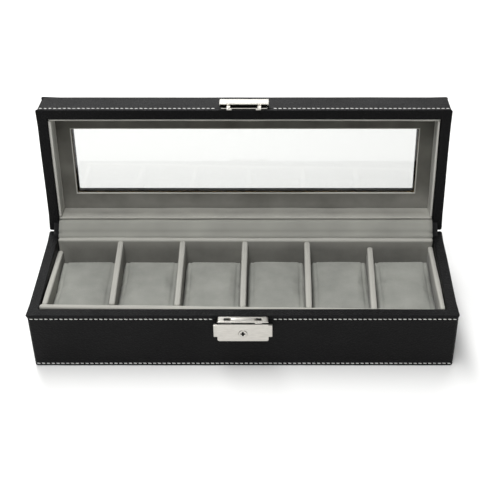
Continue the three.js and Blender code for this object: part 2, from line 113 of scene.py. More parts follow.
# %% Colour and node helpers
def linear(hex_colour):
    """An sRGB hex colour such as '#8c8c86' as linear RGBA."""
    def channel(value):
        value /= 255
        return value / 12.92 if value <= 0.04045 else ((value + 0.055) / 1.055) ** 2.4
    digits = hex_colour.lstrip("#")
    return tuple(channel(int(digits[i:i + 2], 16)) for i in (0, 2, 4)) + (1.0,)


def add(tree, kind, settings=(), **inputs):
    """Add a shader node. settings are its own properties. Each input is a value or another node's socket,
    under the name of its own socket, or _0, _1 and so on by number."""
    node = tree.nodes.new("ShaderNode" + kind)
    for name, value in dict(settings).items():
        setattr(node, name, value)
    for name, value in inputs.items():
        socket = node.inputs[int(name[1:]) if name[0] == "_" else name.replace("_", " ")]
        if isinstance(value, bpy.types.NodeSocket):
            tree.links.new(value, socket)
        else:
            socket.default_value = value
    return node


def material(name, **shader):
    """A new material and its tree, with a Principled shader that holds the constants given."""
    made = bpy.data.materials.new(name)
    made.use_nodes = True
    tree = made.node_tree
    tree.nodes.clear()
    principled = add(tree, "BsdfPrincipled", **shader)
    add(tree, "OutputMaterial", Surface=principled.outputs["BSDF"])
    place = add(tree, "TexCoord").outputs["Object"]
    return made, tree, principled, place


def ramp(tree, factor, stops):
    """A colour ramp through (position, hex) stops."""
    node = add(tree, "ValToRGB", Fac=factor)
    elements = node.color_ramp.elements
    while len(elements) < len(stops):
        elements.new(0.5)
    for element, (position, colour) in zip(elements, stops):
        element.position = position
        element.color = linear(colour)
    return node.outputs["Color"]


def weighted(tree, value, weight, base):
    """A Math node's result: base plus a share of value."""
    return add(tree, "Math", {"operation": "MULTIPLY_ADD"}, _0=value, _1=weight, _2=base).outputs[0]


print("middle grey in linear light:", round(linear("#808080")[0], 3))

# %% [markdown]
# **Leather.** Split hide with a pressed pebble grain, dyed black and given a satin finish. Each pebble is
# about a millimetre; the grain is drawn a little coarser so that it shows. Voronoi cells give the pebbles,
# and a slow noise varies the finish where hands have polished it.

# %% Leather
PEBBLE = 1.3 * MM
HANDLED = 35 * MM

leather, tree, shader, place = material("pebbled_leather", IOR=1.45, Specular_IOR_Level=0.16)
pebbles = add(tree, "TexVoronoi", {"feature": "SMOOTH_F1"}, Vector=place, Scale=1 / PEBBLE, Smoothness=0.35)
creases = add(tree, "TexNoise", Vector=place, Scale=1 / (PEBBLE * 5), Detail=4.0, Roughness=0.6)
handled = add(tree, "TexNoise", Vector=place, Scale=1 / HANDLED, Detail=2.0)
height = weighted(tree, creases.outputs["Fac"], 0.6, pebbles.outputs["Distance"])
dye = ramp(tree, height, [(0.25, "#111112"), (0.8, "#050506")])
gloss = add(tree, "MapRange", Value=handled.outputs["Fac"], To_Min=0.44, To_Max=0.62)
grain = add(tree, "Bump", Height=height, Strength=0.8, Distance=0.35 * MM)
tree.links.new(dye, shader.inputs["Base Color"])
tree.links.new(gloss.outputs["Result"], shader.inputs["Roughness"])
tree.links.new(grain.outputs["Normal"], shader.inputs["Normal"])
print("leather pebble in mm:", PEBBLE / MM)

# %% [markdown]
# ** Velvet.** Short nylon pile glued to card. Seen across the pile it looks pale, seen into it dark, which
# is what the sheen does. A paler grey is painted along the rounded edges as a highlight, where they catch
# the light: pieces carry a "fold" value that mixes it in. Brushed patches a few centimetres wide lie one
# way or the other. The pile is drawn coarser than its fraction of a millimetre, so that it shows.

# %% Velvet
PILE = 0.9 * MM
BRUSHED = 28 * MM
VELVET_SHADER = {"Roughness": 0.95, "Sheen_Weight": 0.08, "Sheen_Roughness": 0.5, "Specular_IOR_Level": 0.1}


def velvet(name, fold, mix_greys):
    """Velvet with a painted highlight, a paler grey, at its folds. mix_greys(tree, place, brushed, pile) gives its
    flat colour.
    """
    made, tree, shader, place = material(name, **VELVET_SHADER)
    patches = add(tree, "TexNoise", Vector=place, Scale=1 / BRUSHED, Detail=3.0, Roughness=0.55)
    brushed = patches.outputs["Fac"]
    pile = add(tree, "TexNoise", Vector=place, Scale=1 / PILE, Detail=3.0, Roughness=0.7).outputs["Fac"]
    # The "fold" value mixes in the paler grey: a painted highlight along the rounded edges.
    edge_highlight = add(tree, "Attribute", {"attribute_name": "fold"}).outputs["Fac"]
    flat_colour = mix_greys(tree, place, brushed, pile)
    colour = add(tree, "MixRGB", _0=edge_highlight, _1=flat_colour, _2=linear(fold)).outputs["Color"]
    tree.links.new(colour, shader.inputs["Base Color"])
    bump = add(tree, "Bump", Height=pile, Strength=0.35, Distance=0.2 * MM)
    tree.links.new(bump.outputs["Normal"], shader.inputs["Normal"])
    return made


def patchy(dark, light):
    """Greys that follow the brushed patches, with a little of the pile in them."""
    def mix_greys(tree, place, brushed, pile):
        return ramp(tree, weighted(tree, pile, 0.35, brushed), [(0.45, dark), (0.9, light)])
    return mix_greys


lining_velvet = velvet("grey_velvet", "#b1b0a9", patchy("#82817c", "#999891"))
# A paler copy of the lining velvet, with painted light, for the lid walls that face the light.
lid_wall_velvet_painted_light = velvet("lid_wall_velvet_painted_light", "#d5d4cd", patchy("#9b9a94", "#adaca5"))
cushion_velvet = velvet("cushion_velvet", "#aeaea7", patchy("#7d7e79", "#90918b"))

# %% [markdown]
# The panel round the window faces away from the lights, so its velvet is a darker copy with the shade
# painted in, and it is painted paler again low down, towards the hinge, for light thrown up from below.

# %% Velvet of the window panel
PAINTED_LIGHT_BELOW = 66 * MM  # height on the open lid below which the panel is painted palest
PAINTED_SHADE_ABOVE = 86 * MM  # height from which the panel is painted darkest


# Painted shade: greys darker than the lining's, painted paler low on the open lid, towards the hinge.
def painted_shade_by_height(tree, place, brushed, pile):
    height = add(tree, "SeparateXYZ", Vector=place).outputs["Z"]
    limits = {"From_Min": PAINTED_LIGHT_BELOW, "From_Max": PAINTED_SHADE_ABOVE, "To_Min": 0.35, "To_Max": 0.0}
    painted_light_share = add(tree, "MapRange", Value=height, **limits).outputs["Result"]
    greys = [(0.1, "#504f4b"), (0.3, "#66655f"), (0.62, "#8a8983")]
    return ramp(tree, weighted(tree, brushed, 0.5, painted_light_share), greys)


shaded_panel_velvet = velvet("window_panel_velvet_painted_shade", "#b6b5ae", painted_shade_by_height)
print("velvets: 4")

# %% [markdown]
# **Gusset cloth and tape.** A thin plain weave, matt, with its threads about half a millimetre apart. One
# set of waves is enough to show the threads, because the cloth is only seen from one side.

# %% Gusset cloth and hinge tape
THREAD_SPACING = 0.55 * MM
WAVE_TO_SCALE = 0.31  # a wave texture shows one band for each 0.31 of its scale


def woven(name, dark, light):
    """A plain weave in two tones."""
    made, tree, shader, place = material(name, Roughness=0.9, Sheen_Weight=0.15, Specular_IOR_Level=0.15)
    spacing = WAVE_TO_SCALE / THREAD_SPACING
    threads = add(tree, "TexWave", {"bands_direction": "X"}, Vector=place, Scale=spacing, Distortion=0.6)
    slow = add(tree, "TexNoise", Vector=place, Scale=1 / BRUSHED, Detail=2.0)
    mixed = weighted(tree, threads.outputs["Fac"], 0.3, slow.outputs["Fac"])
    tree.links.new(ramp(tree, mixed, [(0.35, dark), (0.95, light)]), shader.inputs["Base Color"])
    bump = add(tree, "Bump", Height=threads.outputs["Fac"], Strength=0.3, Distance=0.1 * MM)
    tree.links.new(bump.outputs["Normal"], shader.inputs["Normal"])
    return made


gusset_cloth = woven("woven_gusset_cloth", "#8b8b85", "#9c9c95")
black_tape = woven("black_hinge_tape", "#0f0f10", "#1b1b1c")
print("threads to a centimetre:", round(10 * MM / THREAD_SPACING))

# %% [markdown]
# **Felt, board and thread.** Felt is matted wool fibre, soft and quite without shine. The walls are raw
# fibreboard, a brown speckle where an edge shows. The thread is bonded polyester, off-white with a faint
# sheen.

# %% Felt, fibreboard and thread
def speckled(name, dark, light, grain, depth, **shader_values):
    """A matt material whose colour and surface vary at one grain size."""
    made, tree, shader, place = material(name, **shader_values)
    speck = add(tree, "TexNoise", Vector=place, Scale=1 / grain, Detail=5.0, Roughness=0.7)
    colour = ramp(tree, speck.outputs["Fac"], [(0.3, dark), (0.7, light)])
    tree.links.new(colour, shader.inputs["Base Color"])
    bump = add(tree, "Bump", Height=speck.outputs["Fac"], Strength=0.5, Distance=depth)
    tree.links.new(bump.outputs["Normal"], shader.inputs["Normal"])
    return made


felt = speckled("black_wool_felt", "#151516", "#2a2a2c", 0.8 * MM, 0.2 * MM, Roughness=1.0, Sheen_Weight=0.3)
fibreboard = speckled("raw_fibreboard", "#7d6243", "#a3855c", 1.5 * MM, 0.1 * MM, Roughness=0.85)
thread = speckled("bonded_thread", "#dededa", "#fbfbf7", 0.5 * MM, 0.1 * MM, Roughness=0.6, Sheen_Weight=0.2)
print("fibre materials: 3")

# %% [markdown]
# ** Metals.** Nickel plate on pressed steel is warm and bright, and fine rubbing marks along it spread its
# reflections. Screws are zinc plated, and the springs are drawn wire. The faces cut inside the lock and
# the catch get a near-black material, painted shade that makes the slots and keyway read as dark holes.

# %% Metals
RUB = 0.5 * MM
RUB_STRETCH = 0.12  # marks run along the lock, about eight times longer than wide


def plated(name, hex_low, hex_high, rough_low, rough_high):
    """A plated metal with long fine rubbing marks in its colour and gloss."""
    made, tree, shader, place = material(name, Metallic=1.0)
    stretched = add(tree, "Mapping", Vector=place, Scale=(RUB_STRETCH, 1.0, 1.0))
    marks = add(tree, "TexNoise", Vector=stretched.outputs["Vector"], Scale=1 / RUB, Detail=4.0)
    gloss = add(tree, "MapRange", Value=marks.outputs["Fac"], To_Min=rough_low, To_Max=rough_high)
    tree.links.new(gloss.outputs["Result"], shader.inputs["Roughness"])
    colour = ramp(tree, marks.outputs["Fac"], [(0.3, hex_low), (0.7, hex_high)])
    tree.links.new(colour, shader.inputs["Base Color"])
    return made


nickel = plated("bright_nickel_plate", "#bdbab4", "#cecbc5", 0.26, 0.36)
zinc = plated("zinc_plated_steel", "#b5b6b8", "#c6c7c9", 0.3, 0.45)
spring_wire = plated("drawn_spring_wire", "#8f9092", "#a5a6a8", 0.3, 0.4)
# Near-black painted shade for the faces cut inside the lock and the catch.
painted_shade_settings = {"Base_Color": linear("#0b0b0b"), "Roughness": 0.85, "Specular_IOR_Level": 0.1}
painted_shade_steel = material("steel_painted_shade", **painted_shade_settings)[0]
print("metals: 4")

# %% [markdown]
# **Glass.** A thin float pane with a very slow ripple. It is treated against glare, so it mirrors less than
# bare glass, and it takes a little of the light that passes.

# %% Glass
PANE = {"Roughness": 0.0, "IOR": 1.52, "Specular_IOR_Level": 0.2, "Transmission_Weight": 1.0}
RIPPLE = 40 * MM

glass, tree, shader, place = material("float_glass", Base_Color=linear("#d9dad9"), **PANE)
ripple = add(tree, "TexNoise", Vector=place, Scale=1 / RIPPLE, Detail=1.0)
waviness = add(tree, "Bump", Height=ripple.outputs["Fac"], Strength=0.02, Distance=0.05 * MM)
tree.links.new(waviness.outputs["Normal"], shader.inputs["Normal"])
print("glass ripple in mm:", RIPPLE / MM)

# %% [markdown]
# ## Helpers for pieces
# Most pieces start as a block with rounded edges. Extra cuts next to each rounded edge keep the flats flat
# under smooth shading, and cuts along the length let a board be slightly uneven, as a hand-covered board
# is.

# %% Making pieces
def finish_piece(name, bm, finish, body, replaces=(), lid=False):
    """Turn a bmesh into a named object that rides on a body. A lid piece is swung open first."""
    mesh = bpy.data.meshes.new(name)
    if lid:
        bmesh.ops.transform(bm, matrix=swing, verts=bm.verts)
    bm.to_mesh(mesh)
    bm.free()
    mesh.polygons.foreach_set("use_smooth", [True] * len(mesh.polygons))
    piece = bpy.data.objects.new(name, mesh)
    bpy.context.scene.collection.objects.link(piece)
    mesh.materials.append(finish)
    if body:
        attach(piece, body)
    if replaces:
        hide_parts(*replaces)
    return piece


def cut_across(bm, axis, places):
    """Cut every face at each place along one axis."""
    normal = Vector([1.0 if i == axis else 0.0 for i in range(3)])
    for place in places:
        everything = bm.verts[:] + bm.edges[:] + bm.faces[:]
        bmesh.ops.bisect_plane(bm, geom=everything, dist=1e-7, plane_co=normal * place, plane_no=normal)


def mark_edge_highlight(bm, low, high, reach):
    """Give each vertex a "fold" value, the weight of the velvet's painted edge highlight: 1 on an edge of the box,
    falling to 0 at reach from it.
    """
    layer = bm.verts.layers.float.new("fold")
    for vertex in bm.verts:
        away = sorted(min(vertex.co[i] - low[i], high[i] - vertex.co[i]) for i in range(3))
        vertex[layer] = min(max(1.0 - away[1] / reach, 0.0), 1.0)


def block(low, high):
    """A plain block between two corners."""
    bm = bmesh.new()
    bmesh.ops.create_cube(bm, size=1.0)
    shape = Matrix.Translation((low + high) / 2) @ Matrix.Diagonal((*(high - low), 1))
    bmesh.ops.transform(bm, matrix=shape, verts=bm.verts)
    return bm


def rounded_block(low, high, radius, segments, step):
    """A block with all its edges rounded, cut about every step along each axis."""
    bm = block(low, high)
    bmesh.ops.bevel(
        bm, geom=bm.edges[:], offset=radius, segments=segments, profile=0.5, affect="EDGES", material=-1,
    )
    for axis in range(3):
        near, far = low[axis] + radius * 1.15, high[axis] - radius * 1.15
        if far > near:
            count = max(1, round((far - near) / step))
            between = [near + (far - near) * k / count for k in range(1, count)]
            cut_across(bm, axis, [near, far] + between)
    mark_edge_highlight(bm, low, high, radius * 2.2)
    return bm


def uneven(bm, amount, scale, seed):
    """Move each vertex along its normal by a slow noise, as cloth over card is never quite flat."""
    bm.normal_update()
    shift = Vector((seed * 3.1, seed * 1.7, seed * 2.3))
    moves = [(v, v.normal * noise.noise(v.co / scale + shift) * amount) for v in bm.verts]
    for vertex, move in moves:
        vertex.co += move


# %% [markdown]
# ## Lining
# Each wall of the lining is card wrapped in velvet. Its long edges are round because the cloth is pulled
# over them. The boards are pushed in by hand, so some stand lower at one end or lean: each has a list of
# how far its top is off at its left or front end and at its right or back end.

# %% Base lining and dividers
VELVET_EDGE = 2.0 * MM
THIN_EDGE = 0.9 * MM
STEP = 8 * MM


def velvet_board(
    node, seed, cloth, along=1, tops=(0, 0), leans=(0, 0), thin=0.0, radius=VELVET_EDGE, lid=False,
):
    """A velvet-wrapped board. At the two ends of its long axis, tops are how far its top edge is off in
    height and leans how far it is off sideways, in mm. thin takes some of its thickness off the inner side."""
    low, high = shut_box(node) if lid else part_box(node)
    if thin and low.x < 0:
        high = high - Vector((thin * MM, 0, 0))
    elif thin:
        low = low + Vector((thin * MM, 0, 0))
    bm = rounded_block(low, high, radius, 4, STEP)
    uneven(bm, 0.35 * MM, 30 * MM, seed)
    for vertex in bm.verts:
        share = (vertex.co[along] - low[along]) / (high[along] - low[along])
        rise = (vertex.co.z - low.z) / (high.z - low.z)
        vertex.co.z += (tops[0] + (tops[1] - tops[0]) * share) * MM * rise
        vertex.co.x += (leans[0] + (leans[1] - leans[0]) * share) * MM * rise
    return finish_piece(node + "_velvet", bm, cloth, "lid" if lid else "base", (node,), lid)


BOARDS = {
    "liner_front": {"along": 0, "tops": (1.2, -4.3)},
    "liner_back": {"along": 0, "tops": (0.4, -0.4)},
    "liner_left": {"tops": (0.6, -10.5), "leans": (1.2, -0.6), "thin": 0.3},
    "liner_right": {"tops": (-4.5, -6.0), "leans": (0.2, -0.2), "thin": 0.3},
    "divider_1": {"tops": (0.8, 0.0), "leans": (1.7, -1.0)},
    "divider_2": {"tops": (-0.3, 0.0), "leans": (0.4, -0.8)},
    "divider_3": {"tops": (-2.2, -0.4), "leans": (-0.5, -0.5)},
    "divider_4": {"tops": (-3.0, -1.0), "leans": (-0.7, -0.2)},
    "divider_5": {"tops": (-4.6, -6.5), "leans": (-1.7, 1.0)},
}
for seed, (node, manner) in enumerate(BOARDS.items()):
    velvet_board(node, seed, lining_velvet, **manner)
velvet_board("liner_floor", 20, lining_velvet, radius=0.8 * MM)
print("base lining boards:", len(BOARDS) + 1)

# %% [markdown]
# The lid's lining is thinner card. The strip at the hinge matches the base. The three others face the
# light, so their velvet is a paler copy with that light painted into its colour.

# %% Lid lining
LID_BOARDS = {
    "lid_liner_front": lid_wall_velvet_painted_light, "lid_liner_back": lining_velvet,
    "lid_liner_left": lid_wall_velvet_painted_light, "lid_liner_right": lid_wall_velvet_painted_light,
}
for seed, (node, cloth) in enumerate(LID_BOARDS.items(), 30):
    velvet_board(node, seed, cloth, radius=THIN_EDGE, lid=True)
print("lid lining boards:", len(LID_BOARDS))

# %% [markdown]
# A felt sheet is glued under the base last, to cover the leather's hem. It is a millimetre thick with a
# soft edge, and not perfectly flat. It lies flat on the board, so it needs no simulation.

# %% Felt under the base
felt_low, felt_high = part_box("underside_felt")
felt_bm = rounded_block(felt_low, felt_high, 0.45 * MM, 3, STEP)
uneven(felt_bm, 0.05 * MM, 20 * MM, 61)
for vertex in felt_bm.verts:
    vertex.co.z = max(vertex.co.z, felt_low.z)
felt_piece = finish_piece("underside_felt_sheet", felt_bm, felt, "base", ("underside_felt",))

# %% [markdown]
# ## Rings with rounded corners
# The leather skins and the window frame are rings of one profile, carried round a rectangle. Each point of
# the profile becomes a loop: a circle whose four quarters are moved out to the rectangle's corners. Each
# loop is extruded from the one before, which keeps the faces four-sided, and the profile itself gives the
# thickness.

# %% Loops and profiles
CORNER_STEPS = 7
TIGHT = 0.4 * MM  # the least radius of a ring's corner


def ring_of(sections):
    """A closed ring through level rounded rectangles: (half_x, half_y, radius, z) for each loop."""
    bm = bmesh.new()
    turn = Matrix.Rotation(math.pi / 4 / CORNER_STEPS, 4, "Z")
    bmesh.ops.create_circle(bm, segments=4 * CORNER_STEPS, radius=1.0, matrix=turn)
    heading = {v: v.co.copy() for v in bm.verts}

    def settle(vertices, section):
        half_x, half_y, radius, z = section
        for v in vertices:
            way = heading[v]
            v.co.x = way.x * radius + math.copysign(half_x - radius, way.x)
            v.co.y = way.y * radius + math.copysign(half_y - radius, way.y)
            v.co.z = z

    settle(bm.verts, sections[0])
    edges = bm.edges[:]
    for section in sections[1:] + sections[:1]:
        made = bmesh.ops.extrude_edge_only(bm, edges=edges)["geom"]
        vertices = [g for g in made if isinstance(g, bmesh.types.BMVert)]
        edges = [g for g in made if isinstance(g, bmesh.types.BMEdge)]
        older = dict(heading)
        for v in vertices:
            heading[v] = next(older[e.other_vert(v)] for e in v.link_edges if e.other_vert(v) in older)
        settle(vertices, section)
    bmesh.ops.remove_doubles(bm, verts=bm.verts, dist=1e-7)
    bmesh.ops.recalc_face_normals(bm, faces=bm.faces)
    return bm


def rounded_path(corners, segments=4):
    """Round each (distance, height, radius) corner of a profile. The path's two ends stay as they are."""
    points = [Vector(c[:2]) for c in corners]
    path = [points[0]]
    for before, corner, after, (_, _, radius) in zip(points, points[1:], points[2:], corners[1:]):
        back, ahead = (before - corner).normalized(), (after - corner).normalized()
        half = back.angle(ahead) / 2
        reach = radius / math.tan(half)
        centre = corner + (back + ahead).normalized() * (radius / math.sin(half))
        first, last = corner + back * reach - centre, corner + ahead * reach - centre
        sweep = first.angle_signed(last)
        turned = [centre + Matrix.Rotation(-sweep * k / segments, 2) @ first for k in range(segments + 1)]
        path += [corner + back * reach * 1.25] + turned + [corner + ahead * reach * 1.25]
    return path + [points[-1]]


def ring(corners, half_x, half_y, corner_round):
    """A closed ring. corners go right round the wall's section: (distance in, height, radius)."""
    path = rounded_path([corners[-1]] + corners + [corners[0]])[1:-1]
    return ring_of([(half_x - d, half_y - d, max(corner_round - d, TIGHT), z) for d, z in path])


print("corner loops have", 4 * CORNER_STEPS, "points")

# %% [markdown]
# ## Leather
# The leather is one skin: up the outside, over the rim, and down inside, with a hem under the foot. Where a
# row of stitches pulls it against the board there is a shallow groove. The folded corners stand out as
# small tips.

# %% Leather measures and folds
LEATHER = 0.8 * MM
RIM_ROUND = 0.5 * MM
CORNER_ROUND = 2.6 * MM
GROOVE = 0.35 * MM
GROOVE_HALF = 0.9 * MM
STITCH_DOWN = 3.8 * MM  # from a rim to its row of stitches
FOOT_ROW = 2.4 * MM  # from the foot to its row of stitches
TURN_IN = 12 * MM
SKIN_STEP = 12 * MM
base_low, base_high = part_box("base_leather_wrap")
lid_low, lid_high = shut_box("lid_side_wrap")
top_low, top_high = shut_box("lid_top_wrap")
WALL = base_high.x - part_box("base_board_right")[0].x + 1.1 * MM  # outside of the leather to its inside


def groove(z):
    """Three profile corners that press a line of stitches in."""
    return [(0, z - GROOVE_HALF, 0.3 * MM), (GROOVE, z, 0.4 * MM), (0, z + GROOVE_HALF, 0.3 * MM)]


def lengthwise_cuts(bm, half_x, half_y):
    """Cut a skin about every step along its walls, so that it can be a little uneven."""
    for axis, half in enumerate((half_x - CORNER_ROUND, half_y - CORNER_ROUND)):
        count = round(2 * half / SKIN_STEP)
        cut_across(bm, axis, [-half + 2 * half * k / count for k in range(1, count)])


def corner_tips(bm, half_x, half_y, z, reach):
    """Push the leather out at the four corners near one height, where it is folded over itself."""
    for vertex in bm.verts:
        x, y = abs(vertex.co.x) - half_x, abs(vertex.co.y) - half_y
        aside = (min(x, 0) ** 2 + min(y, 0) ** 2) / (3 * MM) ** 2
        near = math.exp(-aside - ((vertex.co.z - z) / (1.8 * MM)) ** 2)
        amount = reach * near * (1.15 if vertex.co.x < 0 else 0.8)
        vertex.co.x += math.copysign(amount, vertex.co.x)
        vertex.co.y += math.copysign(amount * 0.7, vertex.co.y)


print("leather over board in mm:", round(WALL / MM, 2))

# %% [markdown]
# The base's skin follows its section right round: hem, outside, rim, inside, and back along the hidden side
# of the leather. Level cuts up the walls let the surface swell and sink by a fraction of a millimetre.

# %% Leather on the base
def base_leather():
    half_x, half_y = base_high.x, base_high.y
    low, high = base_low.z, base_high.z
    section = (
        [(TURN_IN, low, 0.2 * MM), (0, low, 0.9 * MM)]
        + groove(low + FOOT_ROW) + groove(high - STITCH_DOWN)
        + [(0, high, RIM_ROUND), (WALL, high, RIM_ROUND), (WALL, high - TURN_IN, 0.3 * MM)]
        + [(WALL - LEATHER, high - TURN_IN, 0.3 * MM), (WALL - LEATHER, high - LEATHER, 0.6 * MM)]
        + [(LEATHER, high - LEATHER, 0.6 * MM), (LEATHER, low + LEATHER, 0.3 * MM)]
        + [(TURN_IN, low + LEATHER, 0.2 * MM)]
    )
    bm = ring(section, half_x, half_y, CORNER_ROUND)
    cut_across(bm, 2, [low + 8 * MM * k for k in range(1, 6)])
    lengthwise_cuts(bm, half_x, half_y)
    uneven(bm, 0.3 * MM, 45 * MM, 3)
    corner_tips(bm, half_x, half_y, high - 0.9 * MM, 1.1 * MM)
    return finish_piece("base_leather", bm, leather, "base", ("base_leather_wrap",))


base_skin = base_leather()
print("base leather faces:", len(base_skin.data.polygons))

# %% [markdown]
# The lid's sides are a second skin. It stays on the shut box until the hinges are cut out of it.

# %% Leather on the lid's sides
def lid_side_leather():
    half_x, half_y = lid_high.x, lid_high.y
    low, high = lid_low.z, lid_high.z
    section = (
        [(WALL, low + TURN_IN, 0.3 * MM), (WALL, low, RIM_ROUND), (0, low, RIM_ROUND)]
        + groove(low + STITCH_DOWN)
        + [(0, high, 0.9 * MM), (LEATHER, high, 0.2 * MM), (LEATHER, low + LEATHER, 0.6 * MM)]
        + [(WALL - LEATHER, low + LEATHER, 0.6 * MM), (WALL - LEATHER, low + TURN_IN, 0.3 * MM)]
    )
    bm = ring(section, half_x, half_y, CORNER_ROUND)
    cut_across(bm, 2, [low + 9 * MM, low + 17 * MM])
    lengthwise_cuts(bm, half_x, half_y)
    uneven(bm, 0.3 * MM, 45 * MM, 7)
    corner_tips(bm, half_x, half_y, low + 0.9 * MM, 0.9 * MM)
    return finish_piece("lid_leather_sides", bm, leather, "lid", ("lid_side_wrap",))


lid_skin = lid_side_leather()
print("lid leather faces:", len(lid_skin.data.polygons))

# %% [markdown]
# The top is a flat sheet with a cut-out. Its outer edge lies over the sides, and round the window it turns
# down and under the board, so the raw edge never shows.

# %% Leather on the lid's top, turned into the window
WINDOW_X = 144.5 * MM
WINDOW_Y = 29.0 * MM
TOP_EDGE = 0.3 * MM


def lid_top_leather():
    over, under, turned = top_high.z, top_high.z - LEATHER, top_low.z
    outside = [
        (LEATHER * 2, under, 0), (TOP_EDGE, under, 0.15 * MM),
        (TOP_EDGE, over, 0.6 * MM), (LEATHER * 4, over, 0),
    ]
    window = [
        (LEATHER * 4, over, 0), (0, over, 0.8 * MM), (0, turned, 0.2 * MM), (LEATHER * 1.5, turned, 0.2 * MM),
        (LEATHER * 1.5, under, 0.3 * MM), (LEATHER * 3, under, 0),
    ]
    sections = [(top_high.x - d, top_high.y - d, CORNER_ROUND, z) for d, z in rounded_path(outside)]
    sections += [(WINDOW_X + d, WINDOW_Y + d, 0.8 * MM + d, z) for d, z in rounded_path(window)]
    bm = ring_of(sections)
    lengthwise_cuts(bm, top_high.x, top_high.y)
    uneven(bm, 0.15 * MM, 40 * MM, 9)
    corner_tips(bm, top_high.x, top_high.y, top_high.z - 0.6 * MM, 1.3 * MM)
    return finish_piece("lid_leather_top", bm, leather, "lid", ("lid_top_wrap",), True)


print("lid top faces:", len(lid_top_leather().data.polygons))

# %% [markdown]
# The hinge leaves lie in the rims and their knuckles in the back edge, so both skins are cut away there. A
# boolean modifier does it, because the cuts cross the rounded rim. The lid's skin is then swung open.

# %% Cut blocks out of a piece
HAIR = 0.01 * MM


def cut_by(piece, cutters, inner=None):
    """Cut blocks out of a piece for good, and drop the cutters. inner is the material of the cut faces."""
    if inner:
        piece.data.materials.append(inner)
    for low, high in cutters:
        mesh = bpy.data.meshes.new("cutter")
        bm = block(low, high)
        bm.to_mesh(mesh)
        bm.free()
        cutter = bpy.data.objects.new("cutter", mesh)
        bpy.context.scene.collection.objects.link(cutter)
        modifier = piece.modifiers.new("cut", "BOOLEAN")
        modifier.object = cutter
        modifier.solver = "EXACT"
        applied(piece)
        bpy.data.objects.remove(cutter)
        for face in piece.data.polygons if inner else ():
            corners = [piece.data.vertices[v].co for v in face.vertices]
            if all(low[i] - HAIR < co[i] < high[i] + HAIR for co in corners for i in range(3)):
                face.material_index = 1


def applied(piece):
    """Make a piece's modifiers part of its mesh."""
    mesh = bpy.data.meshes.new_from_object(piece.evaluated_get(bpy.context.evaluated_depsgraph_get()))
    piece.modifiers.clear()
    piece.data = mesh


# %% Room for the hinges
LEAF_HALF = 1.0 * MM
KNUCKLE_ROOM = 2 * MM
room = Vector((0.35, 0.35, 0.35)) * MM
hinge_cutters = []
for side in ("left", "right"):
    leaf_low, leaf_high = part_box("hinge_leaf_base_" + side)
    tray_low = Vector((leaf_low.x, leaf_low.y, pin.z - LEAF_HALF)) - room
    tray_high = Vector((leaf_high.x, leaf_high.y, pin.z + LEAF_HALF)) + room
    knuckle_low = Vector((leaf_low.x, pin.y - KNUCKLE_ROOM, pin.z - KNUCKLE_ROOM)) - room
    hinge_cutters += [(tray_low, tray_high), (knuckle_low, leaf_high + room)]
for skin in (base_skin, lid_skin):
    cut_by(skin, hinge_cutters)
    skin.data.polygons.foreach_set("use_smooth", [True] * len(skin.data.polygons))
lid_skin.data.transform(swing)
print("leather faces after cutting:", len(base_skin.data.polygons), len(lid_skin.data.polygons))

# %% [markdown]
# ## Window frame
# A card frame wrapped in velvet holds the glass from inside. Its inner edge is rounded over, and it
# carries the "fold" value: a painted highlight along that edge.

# %% Velvet window frame
FRAME_LAP = 1.2 * MM
FRAME_ROLL = 0.7 * MM


def velvet_window_frame():
    low, high = shut_box("lid_window_frame")
    opening_x, opening_y = WINDOW_X + FRAME_LAP, WINDOW_Y + FRAME_LAP
    outside = [(1 * MM, high.z, 0), (0, high.z, 0.4 * MM), (0, low.z, 0.4 * MM), (2 * MM, low.z, 0)]
    window = [(2 * MM, low.z, 0), (0, low.z, FRAME_ROLL), (0, high.z, FRAME_ROLL), (2 * MM, high.z, 0)]
    sections = [(high.x - d, high.y - d, 0.8 * MM, z) for d, z in rounded_path(outside)]
    sections += [(opening_x + d, opening_y + d, 0.8 * MM, z) for d, z in rounded_path(window)]
    bm = ring_of(sections)
    cut_across(bm, 0, [high.x * k / 14 for k in range(-13, 14)])
    cut_across(bm, 1, [high.y * k / 5 for k in range(-4, 5)])
    # The rolled inner edge gets the painted highlight.
    layer = bm.verts.layers.float.new("fold")
    for v in bm.verts:
        rolled = abs(v.co.x) < opening_x + FRAME_ROLL and abs(v.co.y) < opening_y + FRAME_ROLL
        v[layer] = 1.0 if rolled else 0.0
    uneven(bm, 0.2 * MM, 35 * MM, 41)
    return finish_piece("window_frame_velvet", bm, shaded_panel_velvet, "lid", ("lid_window_frame",), True)


print("window frame faces:", len(velvet_window_frame().data.polygons))

# %% [markdown]
# ## Cushions
# A watch cushion is a small pillow: a band of velvet goes round it from front to back, an end panel closes
# each side, and soft wadding fills it. Each starts as a rounded block a touch wider than its CAD solid,
# remeshed into even squares so that the cloth can swell evenly.

# %% Cushion blanks
CUSHION_VOXEL = 2.4 * MM
BLANK_INSET = Vector((-0.3, 0.3, 0.4)) * MM


def cushion_blank(index):
    low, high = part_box(f"cushion_{index}")
    bm = rounded_block(low + BLANK_INSET, high - BLANK_INSET, 1.6 * MM, 3, STEP)
    piece = finish_piece(f"cushion_{index}_padded", bm, cushion_velvet, None)
    remesh = piece.modifiers.new("remesh", "REMESH")
    remesh.mode = "VOXEL"
    remesh.voxel_size = CUSHION_VOXEL
    applied(piece)
    return piece


cushions = [cushion_blank(i) for i in range(1, 7)]
print("cushion blank faces:", len(cushions[0].data.polygons))

# %% [markdown]
# Air pressure on a cloth does what the wadding does: it swells the sides and draws the corners in. The
# pressure differs a little between cushions, and no point may travel far, so each still fits its bay.

# %% Stuff the cushions
CUSHION_FRAMES = 20
CUSHION_TRAVEL = 3.0 * MM
CLOTH = {"tension_stiffness": 12, "compression_stiffness": 12, "bending_stiffness": 0.8, "quality": 5}


